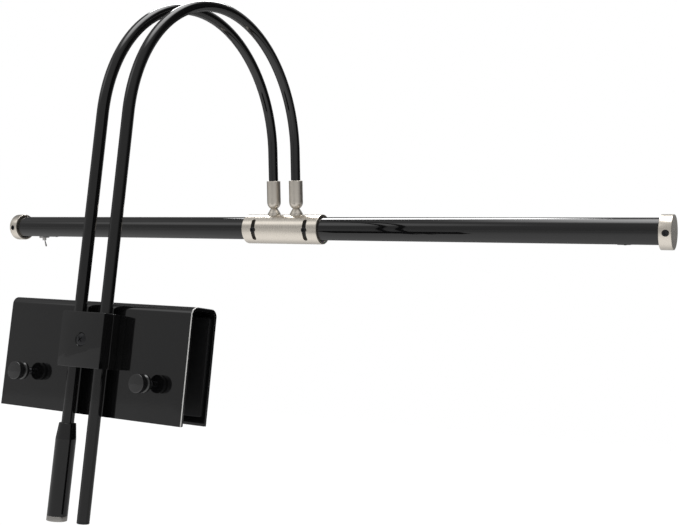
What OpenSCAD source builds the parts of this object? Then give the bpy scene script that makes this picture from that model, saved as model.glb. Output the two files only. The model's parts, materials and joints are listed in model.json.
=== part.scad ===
// Clip-on picture light: a U-shaped clip with two thumb screws, two sliding
// gooseneck arms, and a long LED tube that turns in a centre sleeve.
// +X runs along the lamp tube, +Y points from the thumb screws towards the
// lamp, +Z is up. The origin is the middle of the clip's inner seat, which
// rests on the picture's or desk's top edge.

/* [Clip] */
// Length of the clip along the edge it grips
clip_w = 136; // [125:1:160]
// Outside depth of the channel, from front plate to back plate
clip_d = 23; // [22:0.5:24]
// Height of the channel, from the outside of the top to the bottom edges
clip_h = 64.5; // [60:0.5:75]
// Thickness of the bent sheet
sheet_t = 2; // [1.5:0.5:2]
// Outside radius of the two bends
bend_r = 4.5; // [3:0.5:6]
// Thickness of the liner on the back plate
liner_t = 2; // [1:0.5:2]

/* [Thumb screws] */
// Distance between the two thumb screws
screw_pitch_x = 91.4; // [80:0.2:100]
// How far the pair of thumb screws sits to the right of the clip's middle
screw_shift = -1; // [-2:0.1:2]
// Depth of the thumb screws below the seat
screw_drop = 41.4; // [38:0.2:48]
// Diameter of the knurled heads
knob_d = 10.3; // [9:0.1:12]
// Length of the knurled heads
knob_l = 7.3; // [6:0.1:8]
// Gap between the left head and the front plate
left_standoff = 5.2; // [4.5:0.1:6.5]
// Gap between the right head and the front plate
right_standoff = 5; // [4.5:0.1:6.5]

/* [Clamp block] */
// Width and height of the square block that grips the arms
block_w = 31; // [29:0.5:34]
// Depth of the block
block_d = 13.1; // [12:0.1:14]
// Distance from the front plate to the arms' centre line
arm_gap = 5.5; // [5:0.1:6]
// Distance from the seat down to the block's top
block_drop = 5; // [4:0.5:10]
// How far the arms sit to the right of the clip's middle
arm_shift = 2.6; // [0:0.1:4]

/* [Arms] */
// Outside diameter of the arm tubes
arm_d = 7; // [6.5:0.1:7]
// Distance between the two arms
arm_pitch = 19.5; // [18.5:0.5:20]
// Radius of the arch, at the arms' centre line
arch_r = 91.5; // [80:0.5:110]
// Height above the seat where the arch starts
arch_z = 111; // [90:1:130]
// How far short of a half turn the arch stops
lean = 12; // [6:1:16]
// Length from the end of the arch to the lamp tube's axis
arch_to_lamp = 57; // [50:1:70]
// Length of the right arm below the seat
right_arm_drop = 119.5; // [110:0.5:130]

/* [Power inlet] */
// Depth of the inlet housing's top below the seat
inlet_top = 67.7; // [66:0.1:72]
// Length of the inlet housing, with its ring
inlet_l = 54.1; // [50:0.1:60]
// Diameter of the inlet housing
inlet_d = 11.4; // [11:0.1:12]

/* [Lamp tube] */
// Length of the lamp over its end caps
lamp_l = 559; // [540:1:600]
// Diameter of the lamp tube
tube_d = 18; // [18:0.5:18]
// Depth from the tube's axis to the flat on its underside
flat_drop = 7.7; // [7.6:0.1:7.8]
// Outside diameter of the sleeve and the end caps
cap_d = 22; // [22:0.5:23]
// Length of each end cap
cap_l = 7.8; // [7.4:0.1:9]
// Length of the centre sleeve
sleeve_l = 65; // [60:1:75]
// Distance between the two turn-stop slots
slot_pitch = 44.8; // [42:0.2:48]

/* [Hidden] */
$fn = 64;
eps = 0.01;       // overshoot of a cut past a face
cut = 50;         // length of a cut that must clear a whole part
fit = 0.05;       // radial clearance of a running fit
edge = 0.4;       // chamfer on machined edges

// Clip
front_y = -clip_d / 2;
back_y = clip_d / 2;
plate_bottom = sheet_t - clip_h;
inner_d = clip_d - 2 * sheet_t;
liner_inset = 2;
liner_bottom_inset = 5;

// Thumb screws and press pads
shank_r = 1.5;
knob_groove_r = knob_d / 2 - 0.8;
knob_front_l = 3.7;
knob_groove_l = 1;
insert_body_r = 2.2;
insert_flange_r = 3.2;
insert_flange_t = 1;
screw_reach = 17.2;      // shank length past the head
pad_r = 6;
pad_t = 1.2;
pad_hub_r = 3;
pad_hub_l = 1.5;
pad_bore_l = 2.2;
facing_t = 1.5;

// Clamp block
block_y = front_y - block_d;
block_mid_z = -block_drop - block_w / 2;
block_gap = 0.2;         // split between the two halves
clamp_r = 2;             // clamp screw's shank
clamp_head_r = 3.7;
clamp_head_t = 2.3;
nut_af = 7;
nut_t = 2.2;

// Arms
arm_y = front_y - arm_gap;
arm_r = arm_d / 2;
arm_bore_r = arm_r - 1;
bend_step = 0.01;        // step and overlap where the drop meets the bend
bend_lap = 0.5;
arm_seat = 12;           // how deep the arm sits in its ferrule
ferrule_top = 36;        // heights along the post, from the tube's axis
ferrule_r = 5.1;
bullet_h = 4.7;          // length of the ferrule's rounded end
neck_h = 15.5;
neck_r = 2.7;
foot_h = 11.8;
foot_r = 4.8;
spigot_r = 3;
post_shank_r = 2.4;
post_base = 8;           // the foot starts here and is cut to the sleeve
lead_r = 1.3;
lead_gap = 0.2;          // around the lead in the post's bore
lead_end_gap = 0.3;      // between the lead's end and the tube

// Power inlet
inlet_r = inlet_d / 2;
inlet_neck_r = 4.7;
inlet_taper_l = 8.8;
inlet_ring_l = 2.9;
inlet_wall = 1.35;
inlet_seat_l = 14;
jack_l = 13.6;
jack_hole_r = 2.8;
jack_hole_l = 9.5;
jack_nose_r = 3.2;
jack_pin_r = 1.05;
inlet_end = -inlet_top - inlet_l;
ring_top = inlet_end + inlet_ring_l;
lead_start = ring_top + jack_l + 2;   // the lead is soldered to the jack's pin here
arm_left_end = -inlet_top - inlet_seat_l;

// Lamp tube: the lamp's own frame has its origin on the tube's axis between
// the arms, +X along the tube and +Z up along the posts
lamp_y = arm_y + arch_r * (1 + cos(lean)) + arch_to_lamp * sin(lean);
lamp_z = arch_z + arch_r * sin(lean) - arch_to_lamp * cos(lean);
tube_r = tube_d / 2;
tube_wall = 1.4;
floor_t = 1.2;           // wall thickness at the flat
tube_in_r = tube_r - tube_wall;
floor_z = -flat_drop + floor_t;
cap_r = cap_d / 2;
cap_wall = 2;
tube_half = lamp_l / 2 - cap_wall;
cap_screw_x = lamp_l / 2 - 3.5;
cap_screw_r = 2.1;

// Turn stop: angles are counted from straight up towards the clip's side
slot_r = 1.65;
slot_end_lap = 0.02;     // how much wider the slot is at its round ends
slot_mid = 91;
slot_half = 36;
guide_r = 1.15;
guide_head_r = 2;
guide_head_t = 0.7;
guide_socket_r = 0.9;
guide_socket_l = 0.5;
guide_angle = 90;
guide_seat_r = cap_r + 0.1;
guide_tip_r = 4.6;

// Light engine
window_left = -(lamp_l / 2 - 36);
window_right = lamp_l / 2 - 25.5;
window_half_w = 4.2;
retainer_left_l = 13;
retainer_right_l = 8;
retainer_proud = 0.25;
retainer_screw_r = 1.9;
retainer_screw_proud = 0.75;
retainer_screw_inset = 4;
lens_flange_half_w = 5.2;
lens_flange_t = 1;
lens_flange_z = -5.5;    // where the flange rests on the tube's inner wall
carrier_half_w = 7.25;
carrier_half_t = 2;
carrier_left = window_left + 4;
carrier_right = window_right + 14;
lead_groove_half_w = 3;
lead_groove_t = 1.6;
board_half_w = 5;
board_t = 1;
chip_pitch = 16;
chip_l = 3.5;
chip_w = 2.8;
chip_t = 0.8;
tube_lead_r = 1.1;
tube_lead_bend = 3.2;

// Toggle switch
switch_x = -(lamp_l / 2 - 30.2);
switch_l = 8.2;
switch_w = 7;
switch_top = 3.5;
bushing_r = 1.7;
bushing_l = 3.6;         // length that stands out of the flat
pivot_drop = 1.9;        // ball centre below the flat
ball_r = 1;
pivot_pin_r = 0.3;
pivot_pin_half = 1.45;
bat_l = 6.8;
bat_r = 0.75;
bat_throw = 15;          // tilt each side of the middle
switch_nut_af = 8;
switch_nut_t = 1.5;

// ---- shared shapes ----

function arc(cx, cy, r, a0, a1, n = 8) =
  [for (i = [0:n]) let (a = a0 + (a1 - a0) * i / n) [cx + r * cos(a), cy + r * sin(a)]];

module chamfered_box(size, c) {
  hull() {
    translate([c, c, 0]) cube([size.x - 2 * c, size.y - 2 * c, size.z]);
    translate([c, 0, c]) cube([size.x - 2 * c, size.y, size.z - 2 * c]);
    translate([0, c, c]) cube([size.x, size.y - 2 * c, size.z - 2 * c]);
  }
}

function screw_x(side) = screw_shift + side * screw_pitch_x / 2;

// turns a part drawn along +Z so that it runs along +X, +Y or -Y
module along_x() { rotate([0, 90, 0]) children(); }
module along_y() { rotate([-90, 0, 0]) children(); }
module along_minus_y() { rotate([90, 0, 0]) children(); }

// places children in the lamp's own frame
module at_lamp() { translate([arm_shift, lamp_y, lamp_z]) rotate([lean, 0, 0]) children(); }

// points +Z at an angle from straight up towards the clip's side
module radial(angle) { rotate([angle, 0, 0]) children(); }

// one arm's centre line as a round bar: leg, arch and drop, the drop's top
// reaching a little way into the end of the bend
module arm_path(side, r, low, high) {
  drop_l = arch_to_lamp - high;
  translate([arm_shift + side * arm_pitch / 2, arm_y, 0]) {
    translate([0, 0, low]) cylinder(r = r, h = arch_z - low);
    translate([0, arch_r, arch_z]) {
      rotate([90, 0, -90])
        rotate_extrude(angle = 180 - lean) translate([arch_r, 0]) circle(r);
      rotate([lean, 0, 0]) translate([0, arch_r, -drop_l])
        cylinder(r = r - bend_step, h = drop_l + bend_lap);
    }
  }
}

module arm(side, low) {
  difference() {
    arm_path(side, arm_r, low, ferrule_top - arm_seat);
    arm_path(side, arm_bore_r, low - 1, ferrule_top - arm_seat - 1);
  }
}

// ---- clip ----

module channel_block(w, d, bottom, top, r) {
  translate([-w / 2, 0, 0]) {
    translate([0, -d / 2, bottom]) cube([w, d, top - r - bottom]);
    translate([0, -d / 2 + r, bottom]) cube([w, d - 2 * r, top - bottom]);
    for (side = [-1, 1])
      translate([0, side * (d / 2 - r), top - r]) along_x() cylinder(r = r, h = w);
  }
}

module clip_channel() {
  color("#1a1a1c") difference() {
    channel_block(clip_w, clip_d, plate_bottom, sheet_t, bend_r);
    channel_block(clip_w + 2, inner_d, plate_bottom - 1, 0, bend_r - sheet_t);
    for (side = [-1, 1])
      translate([screw_x(side), front_y - 1, -screw_drop])
        along_y() cylinder(r = insert_body_r, h = sheet_t + 2);
    translate([arm_shift, front_y - 1, block_mid_z]) along_y() cylinder(r = clamp_r, h = sheet_t + 2);
  }
}

module back_liner() {
  liner_top = sheet_t - bend_r;
  liner_z = plate_bottom + liner_bottom_inset;
  color("#202124")
    translate([-clip_w / 2 + liner_inset, back_y - sheet_t - liner_t, liner_z])
      cube([clip_w - 2 * liner_inset, liner_t, liner_top - liner_z]);
}

module screw_inserts() {
  color("#3a3a3c") for (side = [-1, 1])
    translate([screw_x(side), front_y, -screw_drop]) along_y() difference() {
      union() {
        cylinder(r = insert_body_r, h = sheet_t);
        translate([0, 0, sheet_t]) cylinder(r = insert_flange_r, h = insert_flange_t);
      }
      translate([0, 0, -1]) cylinder(r = shank_r + fit, h = sheet_t + insert_flange_t + 2);
    }
}

module thumb_screw(side, standoff) {
  chamfer = 0.5;
  rear_l = knob_l - knob_front_l - knob_groove_l;
  r = knob_d / 2;
  color("#161617") translate([screw_x(side), front_y - standoff, -screw_drop]) {
    along_minus_y() rotate_extrude() polygon([
      [0, 0], [r - chamfer, 0], [r, chamfer], [r, rear_l - chamfer], [r - chamfer, rear_l],
      [knob_groove_r, rear_l], [knob_groove_r, rear_l + knob_groove_l],
      [r - chamfer / 2, rear_l + knob_groove_l], [r, rear_l + knob_groove_l + chamfer / 2],
      [r, knob_l - chamfer], [r - chamfer, knob_l], [0, knob_l]
    ]);
    along_y() cylinder(r = shank_r, h = screw_reach);
  }
}

// places children with z = 0 at the screw's tip, +Z towards the back plate
module at_screw_tip(side, standoff) {
  translate([screw_x(side), front_y - standoff + screw_reach, -screw_drop])
    along_y() children();
}

module press_pad(side, standoff) {
  color("#2a2a2c") at_screw_tip(side, standoff) difference() {
    translate([0, 0, -pad_bore_l]) {
      cylinder(r = pad_hub_r, h = pad_hub_l);
      translate([0, 0, pad_hub_l]) cylinder(r = pad_r, h = pad_t);
    }
    translate([0, 0, -pad_bore_l - 1]) cylinder(r = shank_r + fit, h = pad_bore_l + 1 + fit);
  }
}

module pad_facing(side, standoff) {
  color("#303033") at_screw_tip(side, standoff)
    translate([0, 0, pad_hub_l + pad_t - pad_bore_l]) cylinder(r = pad_r, h = facing_t);
}

// ---- clamp block ----

module clamp_half(y0, half_d) {
  color("#1a1a1c") difference() {
    translate([arm_shift - block_w / 2, y0, block_mid_z - block_w / 2])
      chamfered_box([block_w, half_d, block_w], edge);
    for (side = [-1, 1])
      translate([arm_shift + side * arm_pitch / 2, arm_y, block_mid_z - block_w / 2 - 1])
        cylinder(r = arm_r + fit, h = block_w + 2);
    translate([arm_shift, y0 - 1, block_mid_z]) along_y() cylinder(r = clamp_r, h = half_d + 2);
    translate([arm_shift, block_y - eps, block_mid_z])
      along_y() cylinder(r1 = clamp_head_r + eps, r2 = clamp_r, h = clamp_head_t);
  }
}

module clamp_screw() {
  screw_end = front_y + sheet_t + nut_t + 0.8;
  cross_half = 2;        // cross recess: half length, width and depth
  cross_w = 0.9;
  cross_deep = 1.4;
  color("#2c2c2e") translate([arm_shift, 0, block_mid_z]) difference() {
    translate([0, block_y, 0]) along_y() {
      cylinder(r1 = clamp_head_r, r2 = clamp_r, h = clamp_head_t);
      cylinder(r = clamp_r, h = screw_end - block_y);
    }
    for (turn = [0, 90])
      rotate([0, 45 + turn, 0]) translate([-cross_half, block_y - 1, -cross_w / 2])
        cube([2 * cross_half, cross_deep + 1, cross_w]);
  }
}

module clamp_nut() {
  color("#48484a") translate([arm_shift, front_y + sheet_t, block_mid_z]) along_y() difference() {
    cylinder(r = nut_af / 2 / cos(30), h = nut_t, $fn = 6);
    translate([0, 0, -1]) cylinder(r = clamp_r, h = nut_t + 2);
  }
}

// ---- arms ----

module arm_left() { color("#1a1a1c") arm(-1, arm_left_end); }

module arm_right() { color("#1a1a1c") arm(1, -right_arm_drop); }

module arm_end_plug() {
  color("#232325") translate([arm_shift + arm_pitch / 2, arm_y, -right_arm_drop]) {
    cylinder(r = arm_bore_r, h = 6);
    translate([0, 0, -1.2]) rotate_extrude()
      polygon([[0, 0], [arm_r - edge, 0], [arm_r, edge], [arm_r, 1.2], [0, 1.2]]);
  }
}

module at_inlet() { translate([arm_shift - arm_pitch / 2, arm_y, 0]) children(); }

module inlet_housing() {
  color("#1a1a1c") at_inlet() rotate_extrude() polygon([
    [arm_r, -inlet_top], [inlet_neck_r - edge, -inlet_top], [inlet_neck_r, -inlet_top - edge],
    [inlet_r, -inlet_top - inlet_taper_l], [inlet_r, ring_top],
    [inlet_r - inlet_wall, ring_top], [inlet_r - inlet_wall, arm_left_end - 1],
    [arm_bore_r, arm_left_end - 1], [arm_bore_r, arm_left_end], [arm_r, arm_left_end]
  ]);
}

module inlet_ring() {
  color("#c8c0b2") at_inlet() rotate_extrude() polygon([
    [jack_nose_r, ring_top], [inlet_r, ring_top], [inlet_r, inlet_end + edge],
    [inlet_r - edge, inlet_end], [jack_nose_r, inlet_end]
  ]);
}

module power_jack() {
  nose_end = inlet_end + 0.4;
  color("#111112") at_inlet() difference() {
    union() {
      translate([0, 0, ring_top]) cylinder(r = inlet_r - inlet_wall, h = jack_l);
      translate([0, 0, nose_end]) cylinder(r = jack_nose_r, h = ring_top - nose_end);
    }
    translate([0, 0, nose_end - 1]) cylinder(r = jack_hole_r, h = jack_hole_l + 1);
    translate([0, 0, nose_end]) cylinder(r = jack_pin_r, h = cut);
  }
}

module jack_pin() {
  tip_z = inlet_end + 1.6;
  color("#c9a35a") at_inlet() {
    translate([0, 0, tip_z]) sphere(r = jack_pin_r);
    translate([0, 0, tip_z]) cylinder(r = jack_pin_r, h = lead_start - tip_z);
  }
}

module arm_lead() {
  color("#2b2b2d") arm_path(-1, lead_r, lead_start, tube_r + lead_end_gap);
}

// ---- ferrules, posts and sleeve ----

module at_post(side) { at_lamp() translate([side * arm_pitch / 2, 0, 0]) children(); }

module ferrule(side) {
  step = ferrule_r - neck_r;
  bullet_r = (step * step + bullet_h * bullet_h) / (2 * step);
  color("#c8c0b2") at_post(side) rotate_extrude() polygon(concat(
    [[post_shank_r, neck_h]],
    arc(ferrule_r - bullet_r, neck_h + bullet_h, bullet_r, -asin(bullet_h / bullet_r), 0, 7),
    [
      [ferrule_r, ferrule_top - edge], [ferrule_r - edge, ferrule_top], [arm_r, ferrule_top],
      [arm_r, ferrule_top - arm_seat], [post_shank_r, ferrule_top - arm_seat]
    ]
  ));
}

module post(side) {
  foot_edge = 0.3;
  spigot_z = tube_r + 0.4;   // clear of the turning tube
  color("#c8c0b2") at_post(side) difference() {
    union() {
      difference() {
        rotate_extrude() polygon([
          [0, post_base], [foot_r - foot_edge, post_base], [foot_r, foot_h - 0.5],
          [foot_r - foot_edge, foot_h],
          [neck_r, neck_h], [post_shank_r, neck_h], [post_shank_r, ferrule_top - arm_seat],
          [0, ferrule_top - arm_seat]
        ]);
        along_x() cylinder(r = cap_r, h = cut, center = true);
      }
      translate([0, 0, spigot_z]) cylinder(r = spigot_r, h = foot_h - spigot_z);
    }
    cylinder(r = lead_r + lead_gap, h = cut);
  }
}

module centre_sleeve() {
  color("#c8c0b2") at_lamp() difference() {
    along_x() cylinder(r = cap_r, h = sleeve_l, center = true);
    along_x() cylinder(r = tube_r + fit, h = sleeve_l + 2, center = true);
    for (side = [-1, 1]) {
      translate([side * arm_pitch / 2, 0, 0]) cylinder(r = spigot_r, h = cut);
      translate([side * slot_pitch / 2, 0, 0]) stop_slot();
    }
  }
}

// arc-shaped slot with round ends, cut through the sleeve's wall
module stop_slot() {
  along_x() rotate([0, 0, 180 + slot_mid - slot_half])
    rotate_extrude(angle = 2 * slot_half)
      translate([tube_r - 1, -slot_r]) square([cap_r - tube_r + 2, 2 * slot_r]);
  for (end = [-1, 1])
    radial(slot_mid + end * slot_half) cylinder(r = slot_r + slot_end_lap, h = cut);
}

// ---- lamp tube ----

module lamp_tube() {
  color("#1a1a1c") at_lamp() difference() {
    along_x() cylinder(r = tube_r, h = 2 * tube_half, center = true);
    translate([-cut * 6, -cut / 2, -flat_drop - cut]) cube([cut * 12, cut, cut]);
    difference() {
      along_x() cylinder(r = tube_in_r, h = 2 * tube_half + 2, center = true);
      translate([-cut * 6, -cut / 2, floor_z - cut]) cube([cut * 12, cut, cut]);
    }
    translate([window_left, -window_half_w, -flat_drop - 1])
      cube([window_right - window_left, 2 * window_half_w, lens_flange_z + flat_drop + 1]);
    translate([switch_x, 0, -flat_drop - 1]) cylinder(r = bushing_r, h = floor_t + 2);
    for (side = [-1, 1])
      translate([side * slot_pitch / 2, 0, 0]) radial(guide_angle) cylinder(r = guide_r, h = cut);
    translate([-arm_pitch / 2 - 2, 0, 0]) lead_window();
  }
}

// slot in the tube's top that lets the lead through at any turn
module lead_window() {
  half_turn = 42;
  along_x() rotate([0, 0, 180 - half_turn])
    rotate_extrude(angle = 2 * half_turn) translate([tube_in_r - 1, 0]) square([tube_wall + 2, 4]);
}

module guide_screws() {
  color("#141415") at_lamp() for (side = [-1, 1])
    translate([side * slot_pitch / 2, 0, 0]) radial(guide_angle) difference() {
      union() {
        translate([0, 0, guide_tip_r]) cylinder(r = guide_r, h = guide_seat_r - guide_tip_r);
        translate([0, 0, guide_seat_r]) rotate_extrude() polygon([
          [0, 0], [guide_head_r, 0], [guide_head_r, guide_head_t - edge],
          [guide_head_r - edge, guide_head_t], [0, guide_head_t]
        ]);
      }
      translate([0, 0, guide_seat_r + guide_head_t - guide_socket_l])
        cylinder(r = guide_socket_r, h = 2, $fn = 6);
    }
}

module end_cap(side) {
  bore_l = cap_l - cap_wall;
  color("#c8c0b2") at_lamp() difference() {
    rotate([0, 90 * side, 0]) translate([0, 0, lamp_l / 2 - cap_l]) rotate_extrude() polygon([
      [tube_r, 0], [cap_r - edge, 0], [cap_r, edge], [cap_r, cap_l - edge],
      [cap_r - edge, cap_l], [0, cap_l], [0, bore_l], [tube_r, bore_l]
    ]);
    translate([side * cap_screw_x, 0, 0]) radial(guide_angle) cylinder(r = cap_screw_r, h = cut);
  }
}

module cap_screws() {
  socket_r = 1.15;
  socket_l = 1.4;
  inset = 0.15;          // below the cap's surface
  color("#141415") at_lamp() for (side = [-1, 1])
    translate([side * cap_screw_x, 0, 0]) radial(guide_angle) difference() {
      translate([0, 0, tube_r]) cylinder(r = cap_screw_r, h = cap_r - tube_r - inset);
      translate([0, 0, cap_r - socket_l]) cylinder(r = socket_r, h = 2, $fn = 6);
    }
}

// ---- light engine ----

module led_carrier() {
  l = carrier_right - carrier_left;
  color("#b8bcc0") at_lamp() difference() {
    translate([carrier_left, -carrier_half_w, -carrier_half_t])
      cube([l, 2 * carrier_half_w, 2 * carrier_half_t]);
    translate([carrier_left - 1, -lead_groove_half_w, carrier_half_t - lead_groove_t])
      cube([l + 2, 2 * lead_groove_half_w, lead_groove_t + 1]);
    for (side = [-1, 1])
      translate([side * slot_pitch / 2, 0, 0]) radial(guide_angle)
        translate([0, 0, guide_tip_r]) cylinder(r = guide_r, h = cut);
  }
}

board_left = window_left + retainer_left_l + 2;
board_right = window_right - retainer_right_l - 2;

module led_board() {
  color("#e8e8e2") at_lamp()
    translate([board_left, -board_half_w, -carrier_half_t - board_t])
      cube([board_right - board_left, 2 * board_half_w, board_t]);
}

// a row of chips each side of the sleeve, on one even pitch
module led_chips() {
  first = ceil((board_left + chip_l) / chip_pitch);
  last = floor((board_right - chip_l) / chip_pitch);
  color("#f2e8a0") at_lamp() for (i = [first:last])
    if (abs(i * chip_pitch) > sleeve_l / 2)
      translate([i * chip_pitch - chip_l / 2, -chip_w / 2, -carrier_half_t - board_t - chip_t])
        cube([chip_l, chip_w, chip_t]);
}

module diffuser() {
  x0 = window_left + retainer_left_l;
  l = window_right - retainer_right_l - x0;
  color("#f0f0ea") at_lamp() lens_strip(x0, l, 0);
}

// a bar in the window, with a wider flange inside the tube
module lens_strip(x0, l, proud) {
  translate([x0, -window_half_w, -flat_drop - proud])
    cube([l, 2 * window_half_w, lens_flange_z + flat_drop + proud]);
  translate([x0, -lens_flange_half_w, lens_flange_z])
    cube([l, 2 * lens_flange_half_w, lens_flange_t]);
}

// a plate at each end of the window, with a screw head on it
module diffuser_retainers() {
  screw_x = [window_left + retainer_left_l - retainer_screw_inset, window_right - retainer_screw_inset];
  color("#161617") at_lamp() {
    lens_strip(window_left, retainer_left_l, retainer_proud);
    lens_strip(window_right - retainer_right_l, retainer_right_l, retainer_proud);
    for (x = screw_x)
      translate([x, 0, -flat_drop - retainer_screw_proud])
        cylinder(r = retainer_screw_r, h = retainer_screw_proud + 0.5);
  }
}

// runs along the carrier's groove, then turns up into the tube's lead window
module tube_lead() {
  z0 = carrier_half_t - lead_groove_t + tube_lead_r;
  x_up = -arm_pitch / 2;
  x_bend = x_up - tube_lead_bend;
  x_end = carrier_left;
  color("#2b2b2d") at_lamp() {
    translate([x_end, 0, z0]) along_x() cylinder(r = tube_lead_r, h = x_bend - x_end);
    translate([x_bend, 0, z0 + tube_lead_bend]) rotate([90, 0, 0]) rotate([0, 0, -90])
      rotate_extrude(angle = 90) translate([tube_lead_bend, 0]) circle(tube_lead_r);
    translate([x_up, 0, z0 + tube_lead_bend])
      cylinder(r = tube_lead_r, h = tube_in_r - 0.2 - z0 - tube_lead_bend);
  }
}

// ---- toggle switch ----

module at_switch() { at_lamp() translate([switch_x, 0, -flat_drop]) children(); }

module switch_body() {
  color("#8a1f1a") at_switch() translate([-switch_l / 2, -switch_w / 2, floor_t])
    cube([switch_l, switch_w, switch_top + flat_drop - floor_t]);
}

module switch_terminals() {
  pitch = 2.5;
  tag = [1.6, 0.6, 2.8];
  color("#c9c9c9") at_switch() for (i = [-1:1])
    translate([i * pitch - tag.x / 2, -tag.y / 2, switch_top + flat_drop]) cube(tag);
}

module switch_bushing() {
  color("#b9b9b6") at_switch() difference() {
    translate([0, 0, -bushing_l]) cylinder(r = bushing_r, h = bushing_l + floor_t);
    translate([0, 0, -pivot_drop]) cylinder(r = ball_r + fit, h = cut);
    translate([0, 0, -bushing_l - eps])
      cylinder(r1 = bushing_r - 0.3, r2 = ball_r + fit, h = bushing_l - pivot_drop + 2 * eps);
    translate([0, 0, -pivot_drop]) pivot_bar(pivot_pin_r + fit, pivot_pin_half + fit);
  }
}

// a round bar on the lever's turning axis
module pivot_bar(r, half) {
  translate([0, half, 0]) along_minus_y() cylinder(r = r, h = 2 * half);
}

module switch_nut() {
  color("#c2c2bf") at_switch() translate([0, 0, -switch_nut_t]) difference() {
    cylinder(r = switch_nut_af / 2 / cos(30), h = switch_nut_t, $fn = 6);
    translate([0, 0, -1]) cylinder(r = bushing_r, h = switch_nut_t + 2);
  }
}

module switch_lever() {
  tail_l = 1.4;          // stays inside the bushing's bore at full tilt
  tail_r = 0.6;
  color("#c9c9c6") at_switch() translate([0, 0, -pivot_drop]) rotate([0, -bat_throw, 0]) {
    sphere(r = ball_r);
    pivot_bar(pivot_pin_r, pivot_pin_half);
    cylinder(r = tail_r, h = tail_l);
    translate([0, 0, -bat_l]) cylinder(r1 = bat_r, r2 = bat_r - 0.2, h = bat_l);
    translate([0, 0, -bat_l]) sphere(r = bat_r);
  }
}

// ---- nodes ----

clip_channel();
back_liner();
screw_inserts();
clamp_half(arm_y + block_gap / 2, arm_gap - block_gap / 2);  // clamp_block_rear
clamp_half(block_y, block_d - arm_gap - block_gap / 2);  // clamp_block_front
clamp_screw();
clamp_nut();
thumb_screw(-1, left_standoff);  // thumb_screw_left
thumb_screw(1, right_standoff);  // thumb_screw_right
press_pad(-1, left_standoff);  // press_pad_left
press_pad(1, right_standoff);  // press_pad_right
pad_facing(-1, left_standoff);  // pad_facing_left
pad_facing(1, right_standoff);  // pad_facing_right
arm_left();
arm_right();
arm_end_plug();
inlet_housing();
inlet_ring();
power_jack();
jack_pin();
arm_lead();
ferrule(-1);  // ferrule_left
ferrule(1);  // ferrule_right
post(-1);  // post_left
post(1);  // post_right
centre_sleeve();
lamp_tube();
guide_screws();
end_cap(-1);  // end_cap_left
end_cap(1);  // end_cap_right
cap_screws();
led_carrier();
led_board();
led_chips();
diffuser();
diffuser_retainers();
switch_body();
switch_terminals();
switch_bushing();
switch_nut();
switch_lever();
tube_lead();
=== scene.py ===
"""Looks of a clip-on picture light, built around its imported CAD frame.

Every piece is placed in the CAD's frame, in metres, with +X along the lamp, +Y from the thumb
screws towards the lamp and +Z up. The lamp leans, so its pieces are drawn in the lamp's own
frame (origin on the tube's axis, +Z up the posts) and then placed. Profiles and outlines are in
millimetres.
"""
import json
import math
import bmesh
import bpy
from mathutils import Matrix, Vector


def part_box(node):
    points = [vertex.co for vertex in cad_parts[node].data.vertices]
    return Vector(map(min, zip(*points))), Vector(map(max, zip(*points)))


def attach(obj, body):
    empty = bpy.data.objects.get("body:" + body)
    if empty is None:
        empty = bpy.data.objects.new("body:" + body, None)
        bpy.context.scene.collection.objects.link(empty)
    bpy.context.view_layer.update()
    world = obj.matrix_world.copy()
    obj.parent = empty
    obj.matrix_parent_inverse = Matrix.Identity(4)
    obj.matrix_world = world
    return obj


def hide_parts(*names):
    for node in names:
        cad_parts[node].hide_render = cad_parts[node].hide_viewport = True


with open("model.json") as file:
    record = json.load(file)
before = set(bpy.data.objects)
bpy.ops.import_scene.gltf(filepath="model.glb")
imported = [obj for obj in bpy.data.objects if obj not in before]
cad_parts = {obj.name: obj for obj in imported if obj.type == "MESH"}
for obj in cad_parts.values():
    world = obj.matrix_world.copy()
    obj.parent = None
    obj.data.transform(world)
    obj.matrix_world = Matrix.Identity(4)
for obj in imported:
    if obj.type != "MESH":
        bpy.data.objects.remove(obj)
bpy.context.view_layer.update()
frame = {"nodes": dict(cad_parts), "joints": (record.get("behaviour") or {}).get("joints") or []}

MM = 0.001
FINE = 96          # sides of a turned piece


# ---------------------------------------------------------------- sizes from the frame

def joint(name):
    return next(j for j in frame["joints"] if j["name"] == name)


def middle(node):
    low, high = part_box(node)
    return (low + high) / 2


def box_mm(node):
    low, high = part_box(node)
    return low / MM, high / MM


def extent(node):
    low, high = box_mm(node)
    return high - low


# what belongs to the arms, the arch and lamp_centre is in metres, the rest in millimetres
clip_low, clip_high = box_mm("clip_channel")
sheet_t = clip_high.z          # the inner seat is at z = 0
arm_low, arm_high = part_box("arm_left")
arm_r = (arm_high.x - arm_low.x) / 2
arm_y = arm_low.y + arm_r
lamp_centre = Vector(joint("lamp_turn")["pos_m"])
toggle_axis = Vector(joint("toggle_flip")["axis"])
lean = math.atan2(toggle_axis.z, toggle_axis.y)
LAMP = Matrix.Translation(lamp_centre) @ Matrix.Rotation(lean, 4, "X")
arm_x = {"left": middle("arm_left").x, "right": middle("arm_right").x}
post_x = {side: (x - lamp_centre.x) / MM for side, x in arm_x.items()}
bushing_r = extent("switch_bushing").x / 2
switch_x = (middle("switch_bushing").x - lamp_centre.x) / MM

tube_r = (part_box("lamp_tube")[1].z - lamp_centre.z) / MM
sleeve_half = extent("centre_sleeve").x / 2
cap_r = extent("end_cap_left").z / 2
cap_l = extent("end_cap_left").x
lamp_half = (box_mm("end_cap_right")[1].x - box_mm("end_cap_left")[0].x) / 2

# the arch's radius and the straight from its end to the tube's axis follow from where the arm
# starts, how high it reaches and where the lamp is
arch_top = arm_high.z - arm_r
rise_y = lamp_centre.y - arm_y
rise_z = lamp_centre.z - arch_top
c, s = math.cos(lean), math.sin(lean)
arch_r = (c * rise_y + s * rise_z) / (1 + c - s)
arch_drop = (rise_y - arch_r * (1 + c)) / s
arch_z = arch_top - arch_r

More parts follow.
